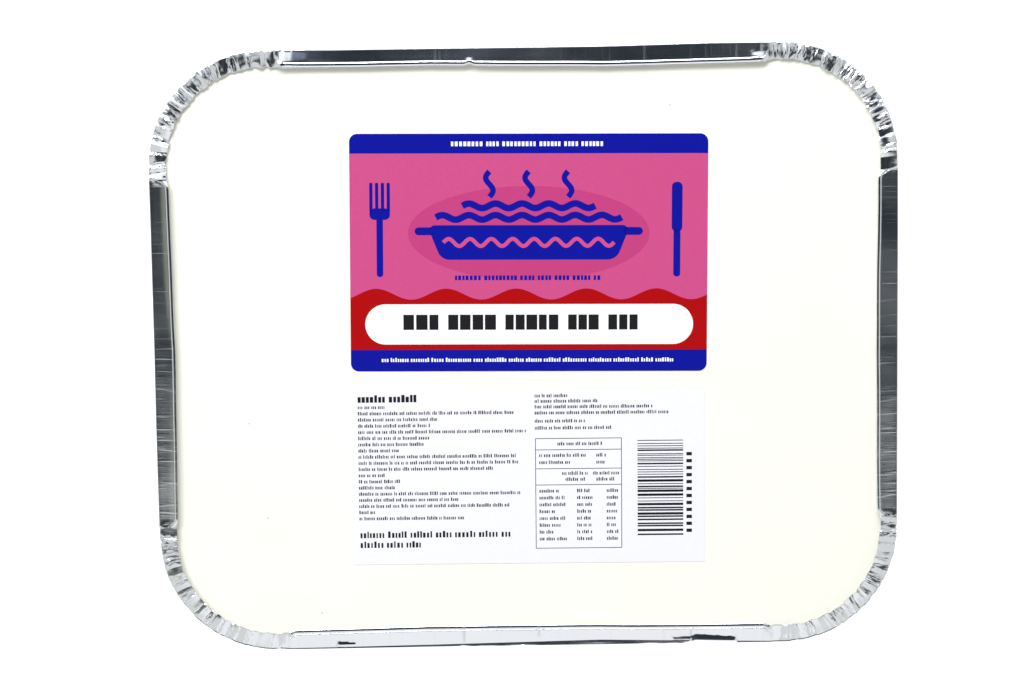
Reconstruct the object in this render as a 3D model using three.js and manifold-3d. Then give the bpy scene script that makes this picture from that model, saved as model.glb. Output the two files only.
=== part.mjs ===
// A ready meal sealed in a rectangular foil tray, lying on its base.
// A white board lid covers the tray, and the tray's rim is folded over the lid's edge all round:
// flat, with a hemmed lip, along the four sides, and gathered into pleats round the four corners.
// Two paper labels are stuck on the lid. The pack is shut, so the filled tray is one solid.
// Millimetres, +Z up. The origin is the middle of the footprint, on the surface the tray stands on.

import * as THREE from 'three';
import { mergeVertices } from 'three/addons/utils/BufferGeometryUtils.js';
import Module from 'manifold-3d';

const wasm = await Module();
wasm.setup();

// Driving sizes of the tray
const LENGTH = 324; // along X, over the folded rim
const WIDTH = 264; // along Y
const DEPTH = 50; // from the table to the underside of the lid
const CORNER_RADIUS = 51; // of the rim's outline
const BASE_INSET = 27; // how far the base lies inside the rim's outline
const BASE_RADIUS = 36; // of the base's corners
const FLANGE_WIDTH = 11; // the ledge under the lid's edge
const SKIN = 0.6; // the flange's thickness, with the crushed foil of its bead

// The wall
const HEEL = 2.5; // height of the rounded turn from base to wall
const STEP_HEIGHT = 38; // the stacking step in the wall
const STEP_WIDTH = 2.4;
const STEP_RISE = 1.6;
const NECK_HEIGHT = 1; // the rounded turn from wall to flange

// The base, pressed up inside a standing ring
const RING_WIDTH = 20;
const PANEL_RISE = 1.5;
const RIB_COUNT = 5;
const RIB_LENGTH = 120;
const RIB_WIDTH = 9;
const RIB_PITCH = 24;
const RIB_RISE = 1.2;

// The rim folded over the lid
const LID_THICKNESS = 0.8;
const LID_COARSENESS = 4; // the lid's corners follow every fourth point of the rim's
const LIP_GAP = 0.3; // clear space between the lid and the foil round it
const LIP_SKIN = 0.6; // the lip's thickness at the outer fold
const EDGE_RADIUS = 1.1; // the rounded outer fold
const EDGE_ROUND = 0.3; // the flat of that rounding, up and in
const SEAT_WALL = 0.8; // foil between the outer fold and the lid's seat
const BAND_WIDTH = 5.5; // the flat part of the fold, outside the hem
const BAND_SLOPE = 1.1; // how much higher the band is at the hem than at the fold
const HEM_WIDTH = 2.4; // the foil's edge turned back on itself
const HEM_HEIGHT = 0.45;
const HEM_DIP = 0.25; // the hollow along the hem's middle
const HEM_ROUND = 0.5; // the rounding of the hem's two edges
const CRIMPED_WIDTH = 7.8; // the whole lip where it is pleated
const CRIMP_ROUND = 0.6; // the rounding of the pleated lip's inner edge
const CRIMP_RUN = 6; // how far the pleats run on past each corner's arc
const HEM_TAPER = 2.5; // how far the hem takes to open out beside the pleats
const SIDE_STEPS = 6; // straight stretches that make up a side's bow
const SIDE_BOWS = { back: 0.9, left: 0.5, front: 0.7, right: 0.2 }; // how far each middle is drawn in

// The pleats
const PLEAT_PITCH = 4.4;
const PLEAT_SPREAD = 0.45; // how much a pleat's width strays from the pitch, as a share of it
const CREST_PLACE = [0.35, 0.65]; // where a pleat's crest lies, as a share of its width
const CREST_FOLD = [0.5, 1]; // how high it stands, as a share of the lift
const VALLEY_FOLD = [-1, -0.6]; // how low the valley beside it lies
const PLEAT_LIFT = 0.42; // half the height of a pleat
const PLEAT_PUSH = 0.35; // half the depth of its notches in the rim's edges
const FLUTE_DEPTH = 0.8; // half the depth of the flutes that run down the corner walls
const SEED = 7;

// The labels
const LABEL_THICKNESS = 0.12;
const COLOUR_LABEL = { size: [155, 103.5], centre: [1.8, 42.1], turn: -0.75, radius: 3.5 };
const WHITE_LABEL = { size: [155, 77], centre: [0.1, -56.4], turn: -0.3, radius: 0.6 };

const LID_TOP = DEPTH + LID_THICKNESS;
const LIP_UNDERSIDE = LID_TOP + LIP_GAP;
const SEAT_INSET = EDGE_RADIUS + SEAT_WALL; // the inside of the outer fold, from the outline
const LIP_TOP = LIP_UNDERSIDE + LIP_SKIN; // at the band's outer edge

const foil = new THREE.MeshStandardMaterial({ color: 0xc9cccf, metalness: 1, roughness: 0.28 });
const board = new THREE.MeshStandardMaterial({ color: 0xf6f5ee, metalness: 0, roughness: 0.75 });
const pinkPaper = new THREE.MeshStandardMaterial({ color: 0xd9558f, metalness: 0, roughness: 0.45 });
const whitePaper = new THREE.MeshStandardMaterial({ color: 0xf2f1f7, metalness: 0, roughness: 0.6 });

// A repeatable stream of numbers from 0 to 1, from a linear congruence.
function seededRandom(seed) {
  const [factor, step, range] = [1664525, 1013904223, 2 ** 32];
  let state = seed;
  return () => {
    state = (state * factor + step) % range;
    return state / range;
  };
}

// The pleats of one corner, as distances along the rim from where they start, with their folds:
// down to -1 in a valley and up to 1 on a crest.
function pleatsOf(span, random) {
  const count = Math.round(span / PLEAT_PITCH);
  const between = ([low, high]) => low + (high - low) * random();
  const widths = Array.from({ length: count }, () => between([1 - PLEAT_SPREAD, 1 + PLEAT_SPREAD]));
  const scale = span / widths.reduce((sum, width) => sum + width, 0);
  const marks = [];
  let start = 0;
  for (const width of widths) {
    const crest = between(CREST_PLACE) * width * scale;
    marks.push({ at: start, fold: between(VALLEY_FOLD) });
    marks.push({ at: start + crest, fold: between(CREST_FOLD) });
    start += width * scale;
  }
  return marks;
}

// One plain side, from the end of one corner's pleats to the start of the next corner's.
function sideStations(halfRun, bow) {
  const plain = halfRun - CRIMP_RUN;
  const hem = plain - HEM_TAPER;
  const steps = Array.from({ length: SIDE_STEPS + 1 }, (_, i) => hem * ((2 * i) / SIDE_STEPS - 1));
  return [-plain, ...steps, plain].map((s, i, all) => ({
    share: s / halfRun,
    crimp: i === 0 || i === all.length - 1 ? 1 : 0,
    bow: bow * Math.cos((Math.PI / 2) * (s / halfRun)) ** 2,
  }));
}

// A station is a place on every ring of the tray. across and along, from -1 to 1, say where the
// centre is that it is measured from, angle is the way it faces, crimp is 0 on a plain side and 1 in
// the pleats, fold is the pleat's, and bow is how far the side is drawn in there.
// They run anticlockwise from the front end of the right side.
function trayStations() {
  const random = seededRandom(SEED);
  const [halfX, halfY] = [LENGTH / 2 - CORNER_RADIUS, WIDTH / 2 - CORNER_RADIUS];
  const arc = (Math.PI / 2) * CORNER_RADIUS;
  const sides = [
    { name: 'right', half: halfY, at: (share) => ({ across: 1, along: share }) },
    { name: 'back', half: halfX, at: (share) => ({ across: -share, along: 1 }) },
    { name: 'left', half: halfY, at: (share) => ({ across: -1, along: -share }) },
    { name: 'front', half: halfX, at: (share) => ({ across: share, along: -1 }) },
  ];
  const stations = [];
  sides.forEach(({ name, half, at: sideAt }, i) => {
    const angle = (i * Math.PI) / 2;
    const next = sides[(i + 1) % 4];
    for (const { share, ...rest } of sideStations(half, SIDE_BOWS[name])) {
      stations.push({ ...sideAt(share), angle, fold: 0, ...rest });
    }
    for (const { at, fold } of pleatsOf(arc + 2 * CRIMP_RUN, random).slice(1)) {
      const turned = at - CRIMP_RUN; // along the corner's arc, and past its ends on to the sides
      let spot = { ...sideAt(1), angle: angle + turned / CORNER_RADIUS };
      if (turned < 0) spot = { ...sideAt(1 + turned / half), angle };
      if (turned > arc) spot = { ...next.at(-1 + (turned - arc) / next.half), angle: angle + Math.PI / 2 };
      stations.push({ ...spot, crimp: 1, bow: 0, fold });
    }
  });
  return stations;
}

// The point of a rounded rectangle that a station names, moved out by push and drawn in by its bow.
function outlinePoint(station, [halfX, halfY], radius, z, { push = 0, bow = 0 } = {}) {
  const reach = radius + push - bow * station.bow;
  return new THREE.Vector3(
    station.across * (halfX - radius) + reach * Math.cos(station.angle),
    station.along * (halfY - radius) + reach * Math.sin(station.angle),
    z,
  );
}

// A ring of the tray's wall or base. rise is its share of the way from the base to the rim.
function wallRing(rise, z, { push = 0, flutes = 0 } = {}) {
  const inset = THREE.MathUtils.lerp(BASE_INSET, FLANGE_WIDTH, rise) - push;
  const radius = THREE.MathUtils.lerp(BASE_RADIUS, CORNER_RADIUS - FLANGE_WIDTH, rise) + push;
  const half = [LENGTH / 2 - inset, WIDTH / 2 - inset];
  const fluted = (station) => flutes * FLUTE_DEPTH * station.fold;
  return (station) => outlinePoint(station, half, radius, z, { push: fluted(station) });
}

// A ring of the rim, given by its distance in from the outline and its height, on a plain side and
// in the pleats. lift and push say how strongly the pleats move it up and out.
function rimRing([plain, crimped], { lift = 0, push = 0 } = {}) {
  return (station) => {
    const inset = THREE.MathUtils.lerp(plain[0], crimped[0], station.crimp);
    const z = THREE.MathUtils.lerp(plain[1], crimped[1], station.crimp);
    const half = [LENGTH / 2 - inset, WIDTH / 2 - inset];
    const out = push * PLEAT_PUSH * (station.fold - station.crimp);
    const height = z + lift * PLEAT_LIFT * station.fold;
    return outlinePoint(station, half, CORNER_RADIUS - inset, height, { push: out, bow: 1 });
  };
}

// A closed skin through rings of points, with a flat fan over the first and last ring.
function skin(rings, stations) {
  const points = rings.flatMap((ring) => stations.map(ring));
  const count = stations.length;
  const faces = [];
  for (let r = 0; r + 1 < rings.length; r++) {
    for (let i = 0; i < count; i++) {
      const a = r * count + i;
      const b = r * count + ((i + 1) % count);
      faces.push(a, b, b + count, a, b + count, a + count);
    }
  }
  const last = (rings.length - 1) * count;
  const middles = [points.length, points.length + 1];
  points.push(new THREE.Vector3(0, 0, points[0].z), new THREE.Vector3(0, 0, points[last].z));
  for (let i = 0; i < count; i++) {
    const next = (i + 1) % count;
    faces.push(middles[0], next, i, middles[1], last + i, last + next);
  }
  return new THREE.BufferGeometry().setFromPoints(points).setIndex(faces);
}

// Between a mesh's indexed geometry and a solid that can be cut.
function toSolid(geometry) {
  const mesh = new wasm.Mesh({
    numProp: 3,
    vertProperties: new Float32Array(geometry.attributes.position.array),
    triVerts: new Uint32Array(geometry.index.array),
  });
  return new wasm.Manifold(mesh);
}

function toGeometry(solid) {
  const mesh = solid.getMesh();
  const geometry = new THREE.BufferGeometry();
  geometry.setAttribute('position', new THREE.BufferAttribute(new Float32Array(mesh.vertProperties), 3));
  geometry.setIndex(new THREE.BufferAttribute(new Uint32Array(mesh.triVerts), 1));
  geometry.computeVertexNormals();
  return geometry;
}

// The underside, from the raised panel out over the standing ring and up the wall to the flange.
// The flutes of the corners fade out towards the base.
function bodyRings() {
  const stepTop = STEP_HEIGHT + STEP_RISE;
  const wallTop = DEPTH - SKIN - NECK_HEIGHT;
  return [
    wallRing(0, PANEL_RISE, { push: -RING_WIDTH - PANEL_RISE }),
    wallRing(0, 0, { push: -RING_WIDTH }),
    wallRing(0, 0, { push: -HEEL / 2 }),
    wallRing(HEEL / DEPTH, HEEL, { flutes: 0.15 }),
    wallRing(STEP_HEIGHT / DEPTH, STEP_HEIGHT, { flutes: 0.8, push: -STEP_WIDTH / 2 }),
    wallRing(stepTop / DEPTH, stepTop, { flutes: 0.8, push: STEP_WIDTH / 2 }),
    wallRing(1, wallTop, { flutes: 1, push: -SKIN / 2 }),
  ];
}

// The flange, the rounded fold and the lip with its hem, down again to the ledge under the lid.
function lipRings() {
  const under = DEPTH - SKIN;
  const bandTop = LIP_TOP + BAND_SLOPE;
  const hemTop = bandTop + HEM_HEIGHT;
  const hemIn = EDGE_RADIUS + BAND_WIDTH;
  const hemNose = hemIn + HEM_WIDTH;
  const pleatIn = CRIMPED_WIDTH - CRIMP_ROUND;
  const pleatSteps = [5, 6, 7].map((eighths) => EDGE_RADIUS + ((pleatIn - EDGE_RADIUS) * eighths) / 8);
  const hemEdge = [hemNose, hemTop - HEM_ROUND];
  const hemUnder = [hemNose - HEM_ROUND, hemTop - 2 * HEM_ROUND];
  const pleatEdge = [CRIMPED_WIDTH, bandTop - CRIMP_ROUND];
  const pleatUnder = [pleatIn, LIP_UNDERSIDE + LIP_GAP];
  const same = (inset, z) => [[inset, z], [inset, z]];
  return [
    rimRing(same(FLANGE_WIDTH - NECK_HEIGHT / 2, under)),
    rimRing(same(EDGE_RADIUS, under), { push: 0.6, lift: 0.3 }),
    rimRing(same(EDGE_ROUND, under + EDGE_ROUND), { push: 1, lift: 0.3 }),
    rimRing(same(0, (under + LIP_TOP) / 2), { push: 1 }),
    rimRing(same(EDGE_ROUND, LIP_TOP - EDGE_ROUND), { push: 1, lift: 0.6 }),
    rimRing(same(EDGE_RADIUS, LIP_TOP), { push: 0.8, lift: 1 }),
    rimRing([[hemIn - HEM_ROUND, bandTop], [pleatSteps[0], bandTop]], { lift: 1 }),
    rimRing([[hemIn, hemTop], [pleatSteps[1], bandTop]], { lift: 1 }),
    rimRing([[hemIn + HEM_WIDTH / 2, hemTop - HEM_DIP], [pleatSteps[2], bandTop]], { lift: 1 }),
    rimRing([[hemNose - HEM_ROUND, hemTop], [pleatIn, bandTop]], { lift: 0.9, push: -0.6 }),
    rimRing([hemEdge, pleatEdge], { lift: 0.5, push: -1 }),
    rimRing([hemUnder, pleatUnder], { push: -0.6 }),
    rimRing(same(SEAT_INSET, LIP_UNDERSIDE)),
    rimRing(same(SEAT_INSET, DEPTH)),
  ];
}

// One rib pressed up into the base panel, as the shape that is cut out below it.
function ribCutter(y) {
  const radius = RIB_WIDTH / 2;
  const reach = RIB_LENGTH / 2 - radius;
  const outline = new THREE.Shape();
  outline.absarc(reach, 0, radius, -Math.PI / 2, Math.PI / 2);
  outline.absarc(-reach, 0, radius, Math.PI / 2, 1.5 * Math.PI);
  const depth = PANEL_RISE + RIB_RISE;
  const cutter = new THREE.ExtrudeGeometry(outline, { depth, bevelEnabled: false, curveSegments: 8 });
  cutter.deleteAttribute('normal');
  cutter.deleteAttribute('uv');
  return mergeVertices(cutter.translate(0, y, 0));
}

function makeTray() {
  let tray = toSolid(skin([...bodyRings(), ...lipRings()], trayStations()));
  for (let i = 0; i < RIB_COUNT; i++) {
    const place = i - (RIB_COUNT - 1) / 2;
    tray = tray.subtract(toSolid(ribCutter(place * RIB_PITCH)));
  }
  return new THREE.Mesh(toGeometry(tray), foil);
}

// The board lid, its edge held in the fold of the rim.
function makeLid() {
  const spot = (z) => [SEAT_INSET + LIP_GAP, z];
  const edge = (z) => rimRing([spot(z), spot(z)]);
  const stations = trayStations().filter((station, i) => station.crimp === 0 || i % LID_COARSENESS === 0);
  const geometry = skin([edge(DEPTH), edge(LID_TOP)], stations);
  geometry.computeVertexNormals();
  return new THREE.Mesh(geometry, board);
}

// A paper label stuck on the lid, turned a little as it was put on by hand.
function makeLabel({ size, centre, turn, radius }, material) {
  const [halfX, halfY] = [size[0] / 2 - radius, size[1] / 2 - radius];
  const outline = new THREE.Shape();
  outline.absarc(halfX, halfY, radius, 0, Math.PI / 2);
  outline.absarc(-halfX, halfY, radius, Math.PI / 2, Math.PI);
  outline.absarc(-halfX, -halfY, radius, Math.PI, 1.5 * Math.PI);
  outline.absarc(halfX, -halfY, radius, 1.5 * Math.PI, 2 * Math.PI);
  const depth = LABEL_THICKNESS;
  const sheet = new THREE.ExtrudeGeometry(outline, { depth, bevelEnabled: false, curveSegments: 8 });
  const label = new THREE.Mesh(sheet, material);
  label.position.set(...centre, LID_TOP);
  label.rotation.z = THREE.MathUtils.degToRad(turn);
  return label;
}

const pack = new THREE.Group();
const pieces = {
  tray: makeTray(),
  lid: makeLid(),
  colour_label: makeLabel(COLOUR_LABEL, pinkPaper),
  white_label: makeLabel(WHITE_LABEL, whitePaper),
};
for (const [name, piece] of Object.entries(pieces)) {
  piece.name = name;
  pack.add(piece);
}

export default pack;
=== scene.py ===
# %% [markdown]
# # A ready meal in a foil tray
# The pack lies flat on a pale floor: an aluminium foil tray, a white board lid held under the
# tray's folded rim, and two paper labels on the lid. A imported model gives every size. Here its
# plain solids are replaced, piece by piece, by meshes with the fine shapes of folded foil, board
# and printed paper, and each piece gets a finish made of nodes.

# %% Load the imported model
import math
import random

import bmesh
import bpy
import numpy as np
from mathutils import Matrix, Vector


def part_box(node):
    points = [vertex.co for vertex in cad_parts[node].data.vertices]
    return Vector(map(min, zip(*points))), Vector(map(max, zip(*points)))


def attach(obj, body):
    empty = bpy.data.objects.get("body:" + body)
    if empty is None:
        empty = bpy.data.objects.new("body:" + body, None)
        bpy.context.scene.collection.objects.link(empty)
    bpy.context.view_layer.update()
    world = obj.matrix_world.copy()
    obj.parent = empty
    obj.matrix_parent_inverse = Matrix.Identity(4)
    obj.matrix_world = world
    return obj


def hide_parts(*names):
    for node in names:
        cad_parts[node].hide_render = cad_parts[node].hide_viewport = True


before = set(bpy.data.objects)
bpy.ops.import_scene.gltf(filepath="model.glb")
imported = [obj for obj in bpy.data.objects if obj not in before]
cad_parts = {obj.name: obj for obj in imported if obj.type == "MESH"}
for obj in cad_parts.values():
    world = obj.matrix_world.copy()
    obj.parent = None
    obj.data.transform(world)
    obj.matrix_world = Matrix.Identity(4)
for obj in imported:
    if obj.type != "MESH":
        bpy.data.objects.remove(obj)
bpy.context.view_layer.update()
print("nodes of the packed model:", sorted(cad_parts))

# %% [markdown]
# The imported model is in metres. Foil work is thought of in millimetres, so one constant turns
# them into metres, and the tray's outline, the lid's height and the labels' places are read from
# the model instead of being typed again.

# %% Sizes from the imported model
MM = 0.001
_, tray_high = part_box("tray")
lid_low, lid_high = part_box("lid")
HALF_X, HALF_Y = tray_high.x, tray_high.y
RIM_TOP = tray_high.z
LID_UNDER, LID_TOP = lid_low.z, lid_high.z
CORNER = 51 * MM  # radius of the rim's outline at the corners
print("outline %.1f x %.1f mm, lid top at %.2f mm" % (2000 * HALF_X, 2000 * HALF_Y, 1000 * LID_TOP))

# %% [markdown]
# ## Camera
# The photographed pack was seen almost square on, from a little above its middle. The pack lies
# down here, so the same view is a camera high over it that looks down, tilted by under eight
# degrees. A long lens keeps the sides of the tray nearly parallel, as in the photograph.

# %% Set up the camera
IMAGE_WIDTH = 1024
FOCAL_PIXELS = 2915
SENSOR_MM = 36
CAMERA_TILT, CAMERA_YAW, CAMERA_ROLL = (math.radians(angle) for angle in (7.692, 0.233, 0.860))
LID_FROM_CAMERA = Vector((6.07, -3.52, -1267.7)) * MM  # the rim's middle, as the camera sees it
AIM_HEIGHT = 52 * MM

turn = Matrix.Rotation(CAMERA_YAW, 3, "Y") @ Matrix.Rotation(CAMERA_TILT, 3, "X")
turn = Matrix.Rotation(CAMERA_ROLL, 3, "Z") @ turn
lens = bpy.data.cameras.new("photo_camera")
lens.sensor_width = SENSOR_MM
lens.lens = FOCAL_PIXELS * SENSOR_MM / IMAGE_WIDTH
lens.clip_end = 20
camera = bpy.data.objects.new("photo_camera", lens)
bpy.context.scene.collection.objects.link(camera)
camera.rotation_euler = turn.transposed().to_euler()
camera.location = turn.transposed() @ -LID_FROM_CAMERA + Vector((0, 0, AIM_HEIGHT))
bpy.context.scene.camera = camera
print("camera at", [round(v, 3) for v in camera.location], "lens %.1f mm" % lens.lens)

# %% [markdown]
# ## Helpers
# An operator acts on everything that is selected, so each piece starts from a clean selection.
# Edges and faces are then picked by their place, with a small test written for the job.

# %% Selecting and naming
def begin(name):
    """Names the primitive that was just added, and leaves only it selected."""
    piece = bpy.context.object
    piece.name = name
    piece.data.name = name
    return piece


def select_everything():
    bpy.ops.mesh.select_all(action="SELECT")


def into_edit():
    """Edit mode, with the whole mesh of the active piece selected."""
    bpy.ops.object.mode_set(mode="EDIT")
    select_everything()


def out_of_edit():
    bpy.ops.object.mode_set(mode="OBJECT")


def turn_outward():
    """Turns all faces outward and leaves edit mode."""
    select_everything()
    bpy.ops.mesh.normals_make_consistent(inside=False)
    out_of_edit()


def nothing_selected():
    if bpy.context.object and bpy.context.object.mode == "EDIT":
        out_of_edit()
    bpy.ops.object.select_all(action="DESELECT")


def make_active(piece):
    piece.select_set(True)
    bpy.context.view_layer.objects.active = piece


def pick(piece, kind, test):
    """In edit mode, selects the faces, edges or verts whose middle passes the test."""
    bpy.ops.mesh.select_mode(type=kind)
    bpy.ops.mesh.select_all(action="DESELECT")
    mesh = bmesh.from_edit_mesh(piece.data)
    parts = {"VERT": mesh.verts, "EDGE": mesh.edges, "FACE": mesh.faces}[kind]
    count = 0
    for part in parts:
        points = [part] if kind == "VERT" else part.verts
        if test(sum((v.co for v in points), Vector()) / len(points), part):
            part.select_set(True)
            count += 1
    bmesh.update_edit_mesh(piece.data)
    return count


def apply_modifiers(piece):
    bpy.context.view_layer.objects.active = piece
    for modifier in list(piece.modifiers):
        bpy.ops.object.modifier_apply(modifier=modifier.name)


# %% [markdown]
# Every finished piece is signed off the same way: its place goes into its mesh, its shading is
# smoothed up to an angle where it has one, it rides on the pack's one body, it gets its finish,
# and the solid of the imported model that it stands for is hidden.

# %% Signing off a piece
def sign_off(piece, material, stands_for, smooth_angle=None):
    nothing_selected()
    make_active(piece)
    bpy.ops.object.transform_apply(location=True, rotation=True, scale=True)
    if smooth_angle is not None:
        bpy.ops.object.shade_smooth_by_angle(angle=smooth_angle)
    piece.data.materials.clear()
    piece.data.materials.append(material)
    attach(piece, "root")
    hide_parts(stands_for)
    triangles = sum(len(face.vertices) - 2 for face in piece.data.polygons)
    print("%s: %d triangles" % (piece.name, triangles))
    nothing_selected()


# %% [markdown]
# ## Finishes
# A finish is a Principled shader with a few procedural nodes in front of it. These helpers add a
# node with its settings and link it, so that each finish below reads as a short recipe.

# %% Material helpers
def new_finish(name, colour, roughness, metallic=0.0):
    """A material with a Principled shader, its even values set on the shader itself."""
    material = bpy.data.materials.new(name)
    material.use_nodes = True
    shader = material.node_tree.nodes["Principled BSDF"]
    shader.inputs["Base Color"].default_value = (*colour, 1)
    shader.inputs["Roughness"].default_value = roughness
    shader.inputs["Metallic"].default_value = metallic
    return material, shader


def node(material, kind, inputs=None, **settings):
    """Adds a node, sets its settings, and fills or links its inputs."""
    made = material.node_tree.nodes.new("ShaderNode" + kind)
    for key, value in settings.items():
        setattr(made, key, value)
    for key, value in (inputs or {}).items():
        if isinstance(value, bpy.types.NodeSocket):
            material.node_tree.links.new(value, made.inputs[key])
        else:
            made.inputs[key].default_value = value
    return made


def noise_at(material, mapped, scale, detail):
    inputs = {"Vector": mapped.outputs["Vector"], "Scale": scale, "Detail": detail}
    return node(material, "TexNoise", inputs).outputs["Fac"]


def stretched_noise(material, scale, stretch=(1, 1, 1), detail=2.0):
    """Noise on Object coordinates, in features per metre, stretched along the axes."""
    place = node(material, "TexCoord").outputs["Object"]
    mapped = node(material, "Mapping", {"Vector": place, "Scale": stretch})
    return noise_at(material, mapped, scale, detail)


def ranged(material, value, start, end, low=0.0, high=1.0, easing="LINEAR"):
    """Maps start to end on to low to high, and holds the ends beyond them."""
    inputs = {"Value": value, "From Min": start, "From Max": end, "To Min": low, "To Max": high}
    return node(material, "MapRange", inputs, interpolation_type=easing).outputs["Result"]


def between(material, noise, low=0.0, high=1.0):
    """Maps a noise from its usual range on to low to high."""
    return ranged(material, noise, 0.3, 0.7, low, high)


def mixed(material, share, start, end):
    """A colour between two, each a value or another node's colour."""
    inputs = {"Factor": share, "A": start, "B": end}
    return node(material, "Mix", inputs, data_type="RGBA").outputs["Result"]


def bumped(material, height, strength, depth, under=None):
    """A bump, on top of another bump if there is one under it."""
    inputs = {"Height": height, "Strength": strength, "Distance": depth}
    if under is not None:
        inputs["Normal"] = under
    return node(material, "Bump", inputs).outputs["Normal"]


# %% [markdown]
# Rolled foil is bright and nearly a mirror. Its roughness changes a little over a hand's width,
# and its surface carries soft crumples a few millimetres wide. Folding leaves fine marks that run
# across the rim, so those are drawn on the piece's own UV map, which is laid along the rim.

# %% Foil
FOIL_COLOUR = (0.86, 0.87, 0.885)
# The marks: features per metre, stretch across the rim, the noise's range that shows, and depth.
FOLD_MARKS = [(420, 0.12, 0.53, 0.62, 0.000014), (1500, 0.05, 0.5, 0.7, 0.0000035)]


def foil_finish():
    material, shader = new_finish("bright_foil", FOIL_COLOUR, 0.16, metallic=1.0)
    links = material.node_tree.links
    handled = stretched_noise(material, 30, detail=3)
    links.new(between(material, handled, 0.1, 0.18), shader.inputs["Roughness"])
    normal = bumped(material, stretched_noise(material, 130, detail=1), 0.2, 0.0002)
    lengthways = node(material, "TexCoord").outputs["UV"]
    for scale, stretch, low, high, depth in FOLD_MARKS:
        drawn_out = node(material, "Mapping", {"Vector": lengthways, "Scale": (1, stretch, 1)})
        marks = noise_at(material, drawn_out, scale, 1.0)
        normal = bumped(material, ranged(material, marks, low, high), 0.8, depth, normal)
    links.new(normal, shader.inputs["Normal"])
    return material


foil = foil_finish()
print("finish:", foil.name)

# %% [markdown]
# The lid is a white board: matt, a little warm, with faint fibres. A few specks of dirt that the
# photograph shows on it are small dark dots at their own places.

# %% White board
BOARD_COLOUR = (0.85, 0.84, 0.747)
PALER_BOARD = (0.865, 0.856, 0.777)
SPECK_COLOUR = (0.33, 0.3, 0.26)
SPECKS = [(-114.1, -73.0), (63.5, 105.2), (-91.4, -115.9), (-121.2, -31.0)]  # mm, on the lid
SPECK_RADIUS, SPECK_CORE, SPECK_DEPTH = 0.5 * MM, 0.2 * MM, 0.7


def board_finish():
    material, shader = new_finish("white_board", BOARD_COLOUR, 0.62)
    links = material.node_tree.links
    shader.inputs["Specular IOR Level"].default_value = 0.15
    cloudy = between(material, stretched_noise(material, 22, detail=4))
    colour = mixed(material, cloudy, (*BOARD_COLOUR, 1), (*PALER_BOARD, 1))
    place = node(material, "TexCoord").outputs["Object"]
    for x, y in SPECKS:
        gap = node(material, "VectorMath", {0: place, 1: (x * MM, y * MM, LID_TOP)}, operation="DISTANCE")
        near = ranged(material, gap.outputs["Value"], SPECK_RADIUS, SPECK_CORE, 0.0, SPECK_DEPTH)
        colour = mixed(material, near, colour, (*SPECK_COLOUR, 1))
    links.new(colour, shader.inputs["Base Color"])
    fibres = stretched_noise(material, 2200, stretch=(0.35, 1, 1), detail=3)
    links.new(bumped(material, fibres, 0.15, 0.00004), shader.inputs["Normal"])
    return material


board = board_finish()
print("finish:", board.name)

# %% [markdown]
# Label paper is smoother than board. Every ink is the same satin paper under its own even
# colour, with a trace of mottling, as a solid printed area has.

# %% Paper and inks
def paper_finish(name, colour, roughness, mottle=0.04):
    material, shader = new_finish(name, colour, roughness)
    shader.inputs["Specular IOR Level"].default_value = 0.12
    links = material.node_tree.links
    grain = stretched_noise(material, 700, detail=3)
    darker = tuple(c * (1 - mottle) for c in colour)
    tint = mixed(material, between(material, grain), (*colour, 1), (*darker, 1))
    links.new(tint, shader.inputs["Base Color"])
    links.new(bumped(material, grain, 0.08, 0.00003), shader.inputs["Normal"])
    return material


pink_paper = paper_finish("pink_print", (0.545, 0.073, 0.22), 0.42)
rose_ink = paper_finish("rose_print", (0.49, 0.048, 0.185), 0.42)
blue_ink = paper_finish("blue_print", (0.004, 0.007, 0.29), 0.32)
red_ink = paper_finish("red_print", (0.385, 0.003, 0.004), 0.32)
white_ink = paper_finish("white_print", (0.86, 0.86, 0.86), 0.42, mottle=0.02)
black_ink = paper_finish("black_print", (0.012, 0.012, 0.014), 0.45)
label_paper = paper_finish("label_paper", (0.81, 0.805, 0.85), 0.5, mottle=0.02)
print("inks:", [m.name for m in bpy.data.materials if m.name.endswith("_print")])

# %% [markdown]
# ## The way round the rim
# The rim runs along four straight sides and round four corners. Two functions turn a place in
# the plane into a distance along the rim and a distance in from its edge, and back. With them,
# foil that was swept plainly round the tray can be pleated and dented by its distance along.

# %% Distance along the rim
CENTRE = np.array([HALF_X - CORNER, HALF_Y - CORNER])  # of the corner arcs
QUARTER = math.pi / 2 * CORNER
SIDE_HALF = [CENTRE[1], CENTRE[0], CENTRE[1], CENTRE[0]]  # right, back, left, front
SIDE_MIDDLE = [0.0]
for before, after in zip(SIDE_HALF, SIDE_HALF[1:]):
    SIDE_MIDDLE.append(SIDE_MIDDLE[-1] + before + QUARTER + after)
PERIMETER = 2 * sum(SIDE_HALF) + 4 * QUARTER


def lerp(start, end, share):
    return start + (end - start) * share


def arch(share):
    """0 at both ends and 1 halfway."""
    return 4 * share * (1 - share)


def rim_measure(x, y):
    """Distance along the rim, from the middle of its right side, and distance in from its edge."""
    along, inward = np.zeros(len(x)), np.zeros(len(x))
    for k in range(4):
        out, ahead = [(x, y), (y, -x), (-x, -y), (-y, x)][k]
        reach, half = CENTRE[k % 2], SIDE_HALF[k]
        side = (out >= reach) & (np.abs(ahead) <= half + 1e-7)
        along[side], inward[side] = (SIDE_MIDDLE[k] + ahead)[side], (reach + CORNER - out)[side]
        arc = (out >= reach - 1e-7) & (ahead > half + 1e-7)
        angle = np.arctan2(ahead - half, out - reach)
        along[arc] = (SIDE_MIDDLE[k] + half + CORNER * angle)[arc]
        inward[arc] = (CORNER - np.hypot(ahead - half, out - reach))[arc]
    return along % PERIMETER, inward


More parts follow.
